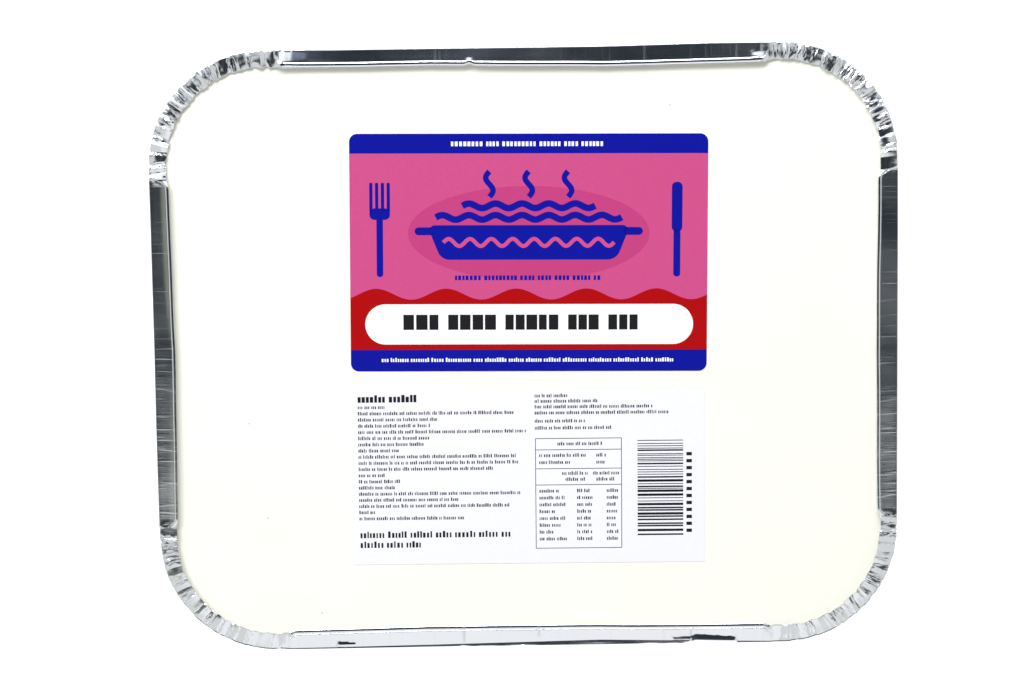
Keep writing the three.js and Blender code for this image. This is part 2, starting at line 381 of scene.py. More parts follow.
def rim_point(along, radius, centre_x=None, centre_y=None):
    """The point at a distance along the rim, on the ring with that corner radius."""
    centre_x = CENTRE[0] if centre_x is None else centre_x
    centre_y = CENTRE[1] if centre_y is None else centre_y
    along = along % PERIMETER
    x, y = np.zeros(len(along)), np.zeros(len(along))
    for k in range(4):
        local = (along - SIDE_MIDDLE[k] + PERIMETER / 2) % PERIMETER - PERIMETER / 2
        half = SIDE_HALF[k]
        here = (local >= -half) & (local <= half + QUARTER)
        angle = np.clip((local - half) / CORNER, 0, math.pi / 2)
        share = np.clip(local / half, -1, 1)
        out_centre, ahead_centre = [(centre_x, centre_y), (centre_y, centre_x)][k % 2]
        out = out_centre + radius * np.cos(angle)
        ahead = ahead_centre * share + radius * np.sin(angle)
        px, py = [(out, ahead), (-ahead, out), (-out, -ahead), (ahead, -out)][k]
        x[here], y[here] = px[here], py[here]
    return x, y


print("once round the rim: %.1f mm" % (PERIMETER / MM))

# %% [markdown]
# ## Sweeping foil round the tray
# Foil of the same section runs all the way round, so the section is made once, as a ring of
# points. Spun through a quarter turn it gives a corner, with fine steps where the pleats will
# be, and pushed straight ahead it gives a side. Corners and sides are copied and joined.

# %% Sweep a section round the tray
def section_ring(section, start):
    """A ring of points on the section, given as (inward, height) pairs, left in edit mode."""
    nothing_selected()
    bpy.ops.mesh.primitive_circle_add(vertices=len(section), radius=CORNER, fill_type="NOTHING")
    piece = begin("swept_foil")
    for vertex, (inward, height) in zip(piece.data.vertices, section):
        vertex.co = (CORNER - inward, start, height)
    into_edit()
    return piece


def swept_corner(section, fine, run_steps):
    step = QUARTER / fine
    piece = section_ring(section, -run_steps * step)
    bpy.ops.mesh.extrude_repeat(steps=run_steps, offset=(0, step, 0))
    bpy.ops.mesh.spin(steps=fine, angle=math.pi / 2, center=(0, 0, 0), axis=(0, 0, -1))
    bpy.ops.mesh.extrude_repeat(steps=run_steps, offset=(-step, 0, 0))
    out_of_edit()
    return piece


def swept_side(section, half, coarse):
    """A straight side, cut in two rounds, because one round makes no more than a hundred cuts."""
    piece = section_ring(section, -half)
    bpy.ops.mesh.extrude_region_move(TRANSFORM_OT_translate={"value": (0, 2 * half, 0)})
    parts = math.ceil(math.sqrt(2 * half / coarse))
    for _ in range(2):
        pick(piece, "EDGE", lambda middle, edge: abs(edge.verts[0].co.y - middle.y) > 0.25 * coarse)
        bpy.ops.mesh.subdivide(number_cuts=parts - 1)
    out_of_edit()
    return piece


def placed_copy(piece, place, quarter_turns):
    copy = piece.copy()
    copy.data = piece.data.copy()
    bpy.context.scene.collection.objects.link(copy)
    copy.location = (*place, 0)
    copy.rotation_euler = (0, 0, quarter_turns * math.pi / 2)
    return copy


def sweep_round(name, section, fine, run_steps, coarse):
    """A section carried once round the rim."""
    run = run_steps * QUARTER / fine
    corner = swept_corner(section, fine, run_steps)
    sides = [swept_side(section, half - run, coarse) for half in SIDE_HALF[:2]]
    nothing_selected()
    parts = []
    for k in range(4):
        centre = [(1, 1), (-1, 1), (-1, -1), (1, -1)][k] * CENTRE
        middle = [(1, 0), (0, 1), (-1, 0), (0, -1)][k] * CENTRE
        parts += [placed_copy(corner, centre, k), placed_copy(sides[k % 2], middle, k)]
    for used in (corner, *sides):
        bpy.data.objects.remove(used)
    for part in reversed(parts):
        make_active(part)
    bpy.ops.object.transform_apply(location=True, rotation=True, scale=True)
    bpy.ops.object.join()
    piece = begin(name)
    into_edit()
    bpy.ops.mesh.remove_doubles(threshold=0.01 * MM)
    out_of_edit()
    print("%s: swept %d points" % (name, len(piece.data.vertices)))
    return piece


def read_points(piece):
    points = np.zeros(3 * len(piece.data.vertices))
    piece.data.vertices.foreach_get("co", points)
    return points.reshape(-1, 3)


def write_points(piece, points):
    piece.data.vertices.foreach_set("co", points.reshape(-1))
    piece.data.update()


# %% [markdown]
# ## The folded rim: its section
# Seen in section, the foil leaves the wall as a flat flange, turns over the lid's edge in a
# round fold, and comes back over the lid as a flat band that rises a little inward. Along the
# sides the band ends in a hem, the foil's own edge rolled back into a bead. In the corners there
# is no hem, and the band ends in a thin edge.

# %% Section of the rim
EDGE = 1.45  # mm, width of the outer fold
FLANGE_UNDER, FLANGE_TOP = LID_UNDER / MM - 0.6, LID_UNDER / MM - 0.02
LIP_TOP = LID_TOP / MM + 0.85  # height of the band beside the fold
BAND_TOP = LIP_TOP + 1.1  # and beside the hem
BAND_IN, HEM_HALF = 6.0, 1.3
BEAD_TOP = RIM_TOP / MM - 0.2
BEAD_HALF_HEIGHT = 0.85
PLEAT_IN = 7.9  # width of the pleated lip
FOIL_GAUGE = 0.35  # thickness given to the crushed foil of the lip
NECK_IN = 10.4  # where the flange meets the wall
SEAT_IN = 1.9
LEDGE = [(SEAT_IN, LIP_TOP - 0.85), (SEAT_IN, FLANGE_TOP), (NECK_IN, FLANGE_TOP)]  # holds the lid
BAND_UNDER = [(6.3, BAND_TOP - 0.75), (4.0, LIP_TOP - 0.3)]  # back from the hem to the ledge
LIP_UNDER = [(5.4, LIP_TOP - 0.3), (3.6, LIP_TOP - 0.4)]  # and back from the pleats' edge
# The pleats' thin edge, from PLEAT_IN and from the height at which the lip ends.
NOSE = [(0, -0.1), (-0.1, -FOIL_GAUGE), (-0.5, -FOIL_GAUGE - 0.05), (-1.2, -FOIL_GAUGE)]
LIP_END = PLEAT_IN - 0.2
# Two numbers for the pleated lip: how high it bulges, and how much of the bulge it runs over.
FRONT_LIP, BACK_LIP = (1.0, 0.42 * math.pi), (0.4, 0.85 * math.pi)
# The outer fold, as distance in and height: round below, with a sloping flat above.
FOLD = [(1.1, 0), (0.55, 0.04), (0.16, 0.36), (0, 0.85), (0, 1.1), (0.12, 1.42), (0.62, 1.78),
        (1.15, 2.15), (EDGE, 2.25)]
FOLD_FLAT = range(7, 11)  # numbers of the sloping flat's points in the section


def rim_sections():
    """Sections beside a hem, and among the pleats at the front and the back, point for point."""
    fold = [(inward, FLANGE_UNDER + z) for inward, z in FOLD]
    shares = np.linspace(0, 1, 14)[1:]
    band = [(lerp(EDGE, BAND_IN, t), lerp(LIP_TOP, BAND_TOP, t)) for t in shares]
    hem_middle, bead_z = BAND_IN + HEM_HALF, BEAD_TOP - BEAD_HALF_HEIGHT
    bead = [(hem_middle - HEM_HALF * math.cos(a), bead_z + BEAD_HALF_HEIGHT * math.sin(a))
            for a in np.radians([*range(20, 181, 12), 200, 235])]
    start = [(NECK_IN, FLANGE_UNDER), (5.0, FLANGE_UNDER), *fold]

    def pleated(rise, dome):
        lip_shares = np.linspace(0, 1, len(band) + len(bead) - 3)[1:]
        lip = [(lerp(EDGE, LIP_END, t), LIP_TOP + rise * math.sin(dome * t)) for t in lip_shares]
        nose = [(PLEAT_IN + inward, lip[-1][1] + z) for inward, z in NOSE]
        return np.array([*start, *lip, *nose, *LIP_UNDER, *LEDGE])

    return np.array([*start, *band, *bead, *BAND_UNDER, *LEDGE]), pleated(*FRONT_LIP), pleated(*BACK_LIP)


plain_section, front_pleated, back_pleated = rim_sections()
assert len(plain_section) == len(front_pleated) == len(back_pleated)
print("points in the rim's section:", len(plain_section))

# %% [markdown]
# ## The folded rim: pleats
# Where the straight foil edge is folded in round a corner, there is too much of it, so it
# gathers into pleats that are pressed flat: facets of uneven width, tilted this way and that,
# with sharp creases between them. Each crease gets a place on the outer fold and another on the
# inner edge, so that it slants, and heights at four places across the lip. The swept points
# between two creases are spread evenly between them, with finer wrinkles of their own on some
# facets. Modifiers can't do this, so the points are moved in code.

# %% Draw the creases of a corner
PLEAT_SEED = 11
CREASES = 50  # in each corner
STEPS_EACH = 6  # swept steps between two creases
ARC_STEPS = 266
RUN_STEPS = (CREASES * STEPS_EACH - ARC_STEPS) // 2
FINE_STEP = QUARTER / ARC_STEPS
PLEAT_SPAN = CREASES * STEPS_EACH * FINE_STEP
# Height of the creases at the back right, back left, front left and front right.
CREASE_LIFT = [0.6 * MM, 0.6 * MM, 0.3 * MM, 0.32 * MM]
WRINKLE_LIFT = 0.2  # as a share of the lift
FACET_SPREAD, FACET_LEAST, FACET_MOST = 0.5, 0.35, 2.6  # widths, as shares of the middle one
WANDER_ROOM = 1.2 * MM  # between closer creases the wander is less
OUT_OF_TURN = 0.15  # share of the creases that don't take turns
CALM_SHARE, CALM = 0.3, 0.15  # share of the facets with few wrinkles, and how few
CREASE_SLANT, CREASE_DRIFT = 0.42, 0.8 * MM
CREASE_END = 1.5 * MM  # the creases fade out over this at both ends of a corner
OUTER_NICK, INNER_NICK = (0, 0.5), (-0.5, 0.35)  # mm, how far the two edges are nicked
HEM_TAPER = 2.5 * MM
PLEAT_KNOTS = np.array([0, 0.3, 0.65, 1])  # shares of the way across the lip


def draw_crease_places(rng, count, span, slant, drift):
    """Places of the creases along the outer and the inner edge."""
    widths = rng.lognormal(0, FACET_SPREAD, count).clip(FACET_LEAST, FACET_MOST)
    outer = np.concatenate([[0], np.cumsum(widths)])
    outer *= span / outer[-1]
    gaps = np.diff(outer)
    room = np.minimum(np.concatenate([gaps[:1], gaps]), np.concatenate([gaps, gaps[-1:]]))
    turns = np.linspace(0, math.pi * rng.uniform(3, 5), count + 1) + rng.uniform(0, 6)
    wander = drift * np.sin(turns) * np.minimum(1, room / WANDER_ROOM)
    inner = outer + room * rng.uniform(-slant, slant, count + 1) + wander
    inner[0], inner[-1] = 0, span
    return outer, np.maximum.accumulate(inner), room


def draw_crease_heights(rng, count, lift, knots):
    """Heights of the creases at each knot, by turns below and above the flat lip."""
    sign = np.where(np.arange(count + 1) % 2 == 0, -1.0, 1.0)
    sign[rng.random(count + 1) < OUT_OF_TURN] *= -0.4
    tall = lift * sign * rng.uniform(0.3, 1.0, count + 1)
    heights = tall[:, None] * rng.uniform(0.5, 1.1, (count + 1, knots))
    return heights + lift * rng.uniform(-0.22, 0.22, (count + 1, knots))


def draw_corner(rng, lift):
    """Everything about one corner's pleats, by swept step."""
    outer, inner, room = draw_crease_places(rng, CREASES, PLEAT_SPAN, CREASE_SLANT, CREASE_DRIFT)
    creases, steps = np.arange(CREASES + 1), np.arange(CREASES * STEPS_EACH + 1) / STEPS_EACH

    def by_step(values):
        return np.interp(steps, creases, values)

    heights = draw_crease_heights(rng, CREASES, lift, len(PLEAT_KNOTS))
    heights = np.stack([by_step(column) for column in heights.T], 1)
    busy = np.where(rng.random(CREASES) < CALM_SHARE, CALM, rng.uniform(0.5, 1.3, CREASES))
    busy = np.append(busy, 0)[steps.astype(int)]
    heights += WRINKLE_LIFT * lift * busy[:, None] * rng.uniform(-1, 1, heights.shape)
    bend = by_step(room * rng.uniform(-0.35, 0.35, CREASES + 1))
    outer, inner = by_step(outer), by_step(inner)
    ends = np.minimum(1, np.minimum(outer, PLEAT_SPAN - outer) / CREASE_END)
    nicks = [by_step(rng.uniform(*most, CREASES + 1) * MM) * ends for most in (OUTER_NICK, INNER_NICK)]
    return {"outer": outer, "inner": inner, "bend": bend * ends, "heights": heights * ends[:, None],
            "nicks": nicks}


rng = np.random.default_rng(PLEAT_SEED)
corners = [draw_corner(rng, lift) for lift in CREASE_LIFT]
print("pleated span of a corner: %.1f mm, %d creases" % (PLEAT_SPAN / MM, CREASES))

# %% [markdown]
# ## The folded rim: sides
# The straight sides aren't straight. Each one is drawn in a little at its middle, its band has
# long soft waves and faint kinks across it, and its hem wanders. A few dents of the real tray
# are put where they are: a kinked hem near the middle of the back, and dimples on two bands.

# %% Waves, kinks and dents of the sides
# For each side, from its start to its end: places from its middle, how far in its outer edge
# lies there and how far its hem, how hollow the band is, all in mm, and the share of the outer
# fold's full width.
SIDE_SHAPES = {
    "right": [(-78, 0, 8.9, 0.28, 0.3), (-60, 0, 9.05, 0.22, 0.3), (-3, 0, 9.5, 0.02, 0.3),
              (54, 0, 9.1, 0.06, 0.3), (80, 0, 8.8, 0.18, 0.4)],
    "back": [(-108, 0, 9.0, 0, 0.4), (-85, 0.1, 9.3, 0, 0.3), (-34, 0.9, 9.9, 0, 0.3),
             (39, 0.8, 8.5, 0, 0.3), (82, 0.85, 8.75, 0, 0.3), (108, 0.3, 8.7, 0, 0.4)],
    "left": [(-80, 0.05, 8.7, 0.24, 0.4), (-59, 0.2, 8.9, 0.28, 0.3), (-33, 0.2, 9.2, 0.25, 0.3),
             (-2, 0.2, 9.75, 0.1, 0.3), (29, 0, 9.2, 0.22, 0.3), (55, 0, 8.8, 0.28, 0.3),
             (78, 0, 8.5, 0.25, 0.4)],
    "front": [(-108, 0, 9.2, 0, 0.5), (-88, 0, 9.45, 0, 0.65), (-44, 0.05, 10.15, 0, 1.0),
              (31, 0, 9.75, 0, 2.0), (84, 0, 9.35, 0, 0.9), (108, 0, 9.1, 0, 0.5)],
}
# The shares of the hem's full width that show: of all of it, and then of its inner half.
HEM_SHARES = {"right": (0.85, 0.43), "back": (1, 1), "left": (0.85, 0.43), "front": (1, 1)}
SHAPE_KNOTS = np.array([(middle / MM + place, *shape, *HEM_SHARES[side])
                        for middle, (side, shapes) in zip(SIDE_MIDDLE, SIDE_SHAPES.items())
                        for place, *shape in shapes])
HEM_KINK = (-22.7 * MM, 2.2 * MM, 0.9 * MM)  # place along the back, half width and depth
SIDE_STEP = 0.8 * MM


def side_shape(along):
    """Outer edge, hem and hollow in metres, and the three shares, at places along the rim."""
    columns = [np.interp(along / MM, SHAPE_KNOTS[:, 0], column, period=PERIMETER / MM)
               for column in SHAPE_KNOTS.T[1:]]
    return [column * MM for column in columns[:3]] + columns[3:]


def soft_wander(rng, pitch, size):
    """A smooth random line along the rim, as a function of distance along it."""
    count = max(4, round(PERIMETER / pitch))
    values = rng.uniform(-size, size, count)

    def at(along):
        t = along / PERIMETER * count
        low = np.floor(t).astype(int)
        share = t - low
        ease = share * share * (3 - 2 * share)
        return lerp(values[low % count], values[(low + 1) % count], ease)

    return at


def kinked_line(rng, pitch, size):
    """A random line of straight stretches, for the faint kinks across the band."""
    places = np.cumsum(rng.uniform(0.4, 1.6, round(PERIMETER / pitch)))
    places *= PERIMETER / places[-1]
    values = rng.uniform(-size, size, len(places))
    return lambda along: np.interp(along, places, values, period=PERIMETER)


band_tilt = soft_wander(rng, 34 * MM, 0.1 * MM)
band_swell = soft_wander(rng, 22 * MM, 0.05 * MM)
band_kinks = kinked_line(rng, 7 * MM, 0.022 * MM)
hem_sway = soft_wander(rng, 28 * MM, 0.16 * MM)
hem_lift = soft_wander(rng, 17 * MM, 0.04 * MM)
hem_shiver = kinked_line(rng, 9 * MM, 0.02 * MM)

# %% [markdown]
# A dent tips a patch of the band: up at its outer edge and down at its inner one, so that the
# patch lies flat and mirrors the dark ceiling in the middle of a bright band. The back's dents
# tip the other way. The few sharp creases that cross the band are narrow ridges.

# %% Dents and ridges
# Each dent: x, y and half width of its left end, the same of its right end, all in mm, and how
# steeply its patch is tipped.
DENTS = [
    ((71.5, -128.7, 1.65), (90.5, -129.9, 1.1), 0.27),
    ((63, -129.4, 0.6), (72, -129.3, 0.9), 0.27),
    ((-84.5, -129.2, 0.95), (-77, -129.6, 0.5), 0.27),
    ((-113, 128.2, 3.2), (-103, 128.4, 2.6), -0.17),
    ((-103, 128.4, 2.6), (-99.5, 128.5, 2.2), -0.11),
    ((-99.5, 128.5, 2.2), (-93, 128.6, 1.6), -0.05),
    ((99, 126.8, 0.9), (106, 126.8, 1.8), -0.18),
]
# Across a dent, outward: places as shares of its half width, and the height there.
DENT_PROFILE = ([-2.2, -1.3, -1, -0.75, 0.75, 1, 1.3, 2.2], [0, 0.8, 0.93, 0.8, -0.8, -0.93, -0.8, 0])
DENT_FADE = 0.9  # mm, past its ends
DENTS_FROM = 100  # mm from the middle, for the ridges too
# Each ridge: distance along the side, half width and height, all in mm.
RIDGES = {
    "back": [(-98.2, 1.1, 0.13), (-95.8, 0.9, 0.1), (-63.9, 0.9, 0.08), (-36.4, 1.5, 0.17),
             (-33.6, 1.0, -0.08), (-14.1, 0.9, 0.07), (16.3, 0.9, 0.075), (33.9, 0.9, 0.085),
             (51.5, 1.2, 0.11), (71.7, 0.9, 0.09), (78.1, 0.9, 0.075), (91.4, 0.9, 0.085),
             (102.2, 1.2, 0.12)],
    "front": [(-61, 0.8, 0.1), (-49, 0.9, 0.12), (-41, 0.8, 0.12), (-29, 0.7, 0.14), (-14, 0.8, 0.13),
              (4, 0.7, 0.12), (19, 0.7, 0.1), (35, 0.7, 0.12), (58, 0.7, 0.1)],
}
WAY_OUT = {"back": 1, "front": -1}  # along Y
OUTER_RIDGE = 0.75  # a ridge's height at its outer end, as a share of that at the hem


def dents_at(x, y):
    total = np.zeros(len(x))
    for (x0, y0, half0), (x1, y1, half1), tip in DENTS:
        share = np.clip((x / MM - x0) / (x1 - x0), 0, 1)
        half = lerp(half0, half1, share)
        outward = (y / MM - lerp(y0, y1, share)) * math.copysign(1, y0)
        gap = np.maximum(x0 - x / MM, x / MM - x1)
        here = (y * y0 > 0) & (np.abs(y / MM) > DENTS_FROM)
        depth = tip * MM * half * np.clip(1 - gap / DENT_FADE, 0, 1)
        total += here * depth * np.interp(-outward / half, *DENT_PROFILE)
    return total


def ridges_at(x, y):
    total = np.zeros(len(x))
    for side, ridges in RIDGES.items():
        here = y * WAY_OUT[side] > DENTS_FROM * MM
        for place, half, rise in ridges:
            total += here * rise * MM * np.clip(1 - np.abs(x / MM - place) / half, 0, 1)
    return total


print("dents on the band:", len(DENTS), "ridges:", sum(len(r) for r in RIDGES.values()))

# %% [markdown]
# ## The folded rim: shaping
# Now every swept point is placed anew. Its distance along says whether it lies on a side or
# among pleats, and its number in the section says which fold of the foil it belongs to.

# %% Shape the rim
LEAST_MOVE = 0.2  # share of the lip's moves that the foil below it makes too
LID_EDGE_IN = 2.1 * MM
LID_GAP = 0.12 * MM  # least gap between the lid and the foil over it
FOIL_ANGLE = math.radians(14)  # sharper creases than this stay sharp


def nearest_number(inward, height, section):
    """Which point of the section each swept point is."""
    return np.hypot(inward[:, None] - section[:, 0], height[:, None] - section[:, 1]).argmin(1)


def pleats_start(k):
    return SIDE_MIDDLE[k] + SIDE_HALF[k] - RUN_STEPS * FINE_STEP


def pleat_share(along):
    """0 on a plain side and 1 among the pleats, with the hem's slanted end between."""
    share = np.zeros(len(along))
    for k in range(4):
        into = (along - pleats_start(k) + PERIMETER / 2) % PERIMETER - PERIMETER / 2
        gap = np.maximum(-into, into - PLEAT_SPAN)
        share = np.maximum(share, np.clip(1 - gap / HEM_TAPER, 0, 1))
    return share


def pleat_moves(along, across):
    """New distance along, lift and the two edges' nicks for points among the pleats."""
    moved, (lift, outer_nick, inner_nick) = along.copy(), np.zeros((3, len(along)))
    for k, corner in enumerate(corners):
        into = (along - pleats_start(k) + 0.5 * FINE_STEP) % PERIMETER - 0.5 * FINE_STEP
        here = into <= PLEAT_SPAN + 0.5 * FINE_STEP
        step = np.rint(into[here] / FINE_STEP).astype(int).clip(0, CREASES * STEPS_EACH)
        p = across[here]
        outer, inner, bend = (corner[key][step] for key in ("outer", "inner", "bend"))
        moved[here] = pleats_start(k) + lerp(outer, inner, p) + bend * arch(p)
        heights = corner["heights"][step]
        lift[here] = heights[:, 0]
        for i, (low, high) in enumerate(zip(PLEAT_KNOTS, PLEAT_KNOTS[1:])):
            share = np.clip((p - low) / (high - low), 0, 1)
            lift[here] += (heights[:, i + 1] - heights[:, i]) * share
        outer_nick[here], inner_nick[here] = (nick[step] for nick in corner["nicks"])
    return moved, lift, outer_nick, inner_nick


def lay_uv(piece, along, inward):
    """A UV map in metres: along the rim, and in from its edge."""
    for old in list(piece.data.uv_layers):
        piece.data.uv_layers.remove(old)
    layer = piece.data.uv_layers.new(name="along_rim")
    corners_of = np.zeros(len(piece.data.loops), dtype=int)
    piece.data.loops.foreach_get("vertex_index", corners_of)
    starts = np.zeros(len(piece.data.polygons), dtype=int)
    piece.data.polygons.foreach_get("loop_start", starts)
    counts = np.diff(np.append(starts, len(corners_of)))
    first = np.repeat(along[corners_of[starts]], counts)
    u = along[corners_of]
    u = u + PERIMETER * np.rint((first - u) / PERIMETER)
    layer.data.foreach_set("uv", np.stack([u, inward[corners_of]], 1).reshape(-1))


def shape_rim(piece):
    points = read_points(piece)
    along, inward = rim_measure(points[:, 0], points[:, 1])
    lay_uv(piece, along, inward)
    number = nearest_number(inward / MM, points[:, 2] / MM, plain_section)
    share = pleat_share(along)
    set_in, hem_in, hollow, fold, hem_width, hem_inner = side_shape(along)
    plain = plain_section[number] * MM
    pleated = np.where(points[:, 1:2] < 0, front_pleated[number], back_pleated[number]) * MM
    across = np.clip((lerp(plain[:, 0], pleated[:, 0], share) / MM - EDGE) / (PLEAT_IN - EDGE), 0, 1)

    flat = np.isin(number, FOLD_FLAT)
    on_top = number > FOLD_FLAT[-1]
    seat = number >= len(plain_section) - len(LEDGE)
    narrower = EDGE * MM * (fold - 1)
    over_band = np.clip((plain[:, 0] / MM - EDGE) / (BAND_IN - EDGE), 0, 1)
    wider = hem_in - set_in - (BAND_IN + HEM_HALF * hem_width * (1 + hem_inner)) * MM
    over_hem = np.maximum(plain[:, 0] - BAND_IN * MM, 0)
    past_band = np.minimum(over_hem, HEM_HALF * (1 + hem_inner) * MM) * hem_width - over_hem
    folded = flat * plain[:, 0] * (fold - 1)
    plain[:, 0] += folded + (on_top & ~seat) * (lerp(narrower, wider, over_band) + past_band)
    pleated[:, 0] += folded + (on_top & ~seat) * narrower * (1 - across)
    inward, height = lerp(plain[:, 0], pleated[:, 0], share), lerp(plain[:, 1], pleated[:, 1], share)
    height[flat] = (LIP_TOP * MM + (height - LIP_TOP * MM) * fold)[flat]
    on_lip = np.clip((height / MM - FLANGE_UNDER) / (LIP_TOP - FLANGE_UNDER), LEAST_MOVE, 1)
    on_lip[seat] = 0

    side = 1 - share
    hem = np.clip(plain_section[number, 0] - BAND_IN + 1, 0, 1) * (plain[:, 1] / MM > LIP_TOP)
    tilt = lerp(0.3, 1, across) * band_tilt(along) + arch(across) * band_swell(along)
    height += side * on_lip * (tilt + band_kinks(along) + hem * hem_lift(along) * 0.5)
    height -= side * on_lip * hollow * arch(over_band)
    kink_place, kink_half, kink_depth = HEM_KINK
    kink = kink_depth * np.clip(1 - np.abs(SIDE_MIDDLE[1] - along - kink_place) / kink_half, 0, 1)
    inward += side * hem * (hem_sway(along) + hem_shiver(along) - kink)

    moved, lift, outer_nick, inner_nick = pleat_moves(along, across)
    height += on_lip * lift
    inward += share * on_lip * ((1 - across) ** 3 * outer_nick + across ** 2 * inner_nick)
    x, y = rim_point(moved, CORNER - inward - set_in)
    height += side * on_lip * (dents_at(x, y) + lerp(OUTER_RIDGE, 1, across) * ridges_at(x, y))
    over_lid = (inward > LID_EDGE_IN) & (height > LID_UNDER + 0.2 * MM)
    height[over_lid] = np.maximum(height[over_lid], LID_TOP + LID_GAP)
    height = np.minimum(height, RIM_TOP)
    write_points(piece, np.stack([x, y, height], 1))
    return height


rim = sweep_round("foil_rim", plain_section * MM, ARC_STEPS, RUN_STEPS, SIDE_STEP)
rim_heights = shape_rim(rim)
into_edit()
turn_outward()
sign_off(rim, foil, "tray", smooth_angle=FOIL_ANGLE)
print("rim from %.2f to %.2f mm" % (rim_heights.min() / MM, rim_heights.max() / MM))

# %% [markdown]
# ## The tray below the rim
# The wall slopes in towards the base. It has a stacking step near its top, a rounded heel, and
# a flat ring that it stands on, with the middle of the base pressed up a little. It is swept the
# same way and then placed by height, because its corners get tighter towards the base. In the
# corners the wall is gathered into upright flutes that fade out downward.

# %% Section of the wall
BASE_INSET, BASE_RADIUS = 27, 36  # mm
TOP_RADIUS = CORNER / MM - 11
FLANGE_IN = 11
WALL = [  # height, how far out of the plain slope, how strongly the flutes show
    (49.9, -0.9, 0), (49.4, -0.9, 0.2), (48.9, -0.6, 0.8), (48.0, -0.35, 1), (45.5, 0, 1),
    (42.5, 0.9, 1), (40.2, 1.3, 0.9), (39.6, 1.1, 0.85), (39.1, 0.4, 0.8), (38.5, -0.6, 0.8),
    (38.0, -1.2, 0.8), (37.0, -1.3, 0.8), (33, -1.0, 0.75), (28, -0.5, 0.7), (22, -0.1, 0.6),
    (16, 0, 0.5), (10, 0, 0.38), (6, 0, 0.28), (3.4, 0, 0.2), (1.9, -0.3, 0.12),
    (0.8, -0.9, 0.06), (0.2, -1.9, 0.02), (0, -3.2, 0), (0, -10, 0), (0, -18.5, 0),
    (0.25, -19.4, 0), (1.1, -20.6, 0), (1.5, -22, 0),
]
WALL_FIRST, WALL_PITCH = 2, 1.6  # mm, the swept section's points before they are placed
WALL_STEP = 4 * MM
FLUTES, FLUTE_STEPS, FLUTE_ARC = 26, 4, 84  # in a corner, swept steps in each, steps round the arc
FLUTE_RUN = (FLUTES * FLUTE_STEPS - FLUTE_ARC) // 2
FLUTE_SPAN = FLUTES * FLUTE_STEPS * QUARTER / FLUTE_ARC
FLUTE_LIFT, FLUTE_SLANT, FLUTE_DRIFT = 0.75 * MM, 0.2, 0.2 * MM
WALL_ANGLE = math.radians(24)


def shape_wall(piece):
    points = read_points(piece)
    along, inward = rim_measure(points[:, 0], points[:, 1])
    number = np.rint((inward / MM - WALL_FIRST) / WALL_PITCH).astype(int)
    height, push, fluted = (np.array(WALL)[number] * (MM, MM, 1)).T
    lay_uv(piece, along, height)
    rise = np.clip(height / LID_UNDER, 0, 1)
    inset = lerp(BASE_INSET, FLANGE_IN, rise) * MM
    radius = lerp(BASE_RADIUS, TOP_RADIUS, rise) * MM
    centre_x, centre_y = HALF_X - inset - radius, HALF_Y - inset - radius
    moved, out = along.copy(), np.zeros(len(along))
    for k, (top, foot, heights) in enumerate(wall_creases):
        start = SIDE_MIDDLE[k] + SIDE_HALF[k] - FLUTE_RUN * QUARTER / FLUTE_ARC
        into = (along - start) % PERIMETER
        here = into <= FLUTE_SPAN * 1.001
        place = np.clip(into[here] / FLUTE_SPAN * FLUTES, 0, FLUTES)

        def down_the_wall(at_top, at_foot):
            ends = [np.interp(place, np.arange(FLUTES + 1), values) for values in (at_top, at_foot)]
            return lerp(*ends, 1 - rise[here])

        moved[here] = start + down_the_wall(top, foot)
        out[here] = down_the_wall(*heights.T)
    swell = wall_swell(along) * np.sin(math.pi * rise) + wall_kinks(along) * fluted
    radius += push + fluted * (out - 0.5 * FLUTE_LIFT) + swell
    x, y = rim_point(moved, radius, centre_x, centre_y)
    write_points(piece, np.stack([x, y, height], 1))


wall_creases = [(*draw_crease_places(rng, FLUTES, FLUTE_SPAN, FLUTE_SLANT, FLUTE_DRIFT)[:2],
                 draw_crease_heights(rng, FLUTES, FLUTE_LIFT, 2)) for _ in range(4)]
wall_swell = soft_wander(rng, 45 * MM, 0.35 * MM)
wall_kinks = kinked_line(rng, 11 * MM, 0.1 * MM)
wall_section = [((WALL_FIRST + WALL_PITCH * i) * MM, height * MM) for i, (height, _, _) in enumerate(WALL)]
wall = sweep_round("foil_wall", wall_section, FLUTE_ARC, FLUTE_RUN, WALL_STEP)
shape_wall(wall)

# %% [markdown]
# The section was swept as a closed ring, so one strip of faces runs from its last point straight
# back to its first, inside the tray. That strip goes, and the two openings it leaves are closed:
# the top under the lid, and the base. The base gets five ribs, cut out with plain planes, inset
# and raised.

# %% Close the base and press the ribs
RIB_COUNT, RIB_PITCH, RIB_LENGTH, RIB_WIDTH, RIB_RISE = 5, 24 * MM, 120 * MM, 9 * MM, 1.2 * MM
RIB_SLOPE = 1.6 * MM  # width of the slope round each rib
PANEL_RISE = 1.5 * MM
STRIP_HEIGHT = 20 * MM  # only the strip's faces are taller


def is_strip(middle, face):
    heights = [v.co.z for v in face.verts]
    return max(heights) - min(heights) > STRIP_HEIGHT


def on_panel(middle, face):
    return abs(middle.z - PANEL_RISE) < 0.1 * MM and face.normal.z ** 2 > 0.9


def is_rib(middle, face):
    row = middle.y / RIB_PITCH
    return on_panel(middle, face) and abs(row - round(row)) < 0.05 and abs(middle.x) < 5 * MM


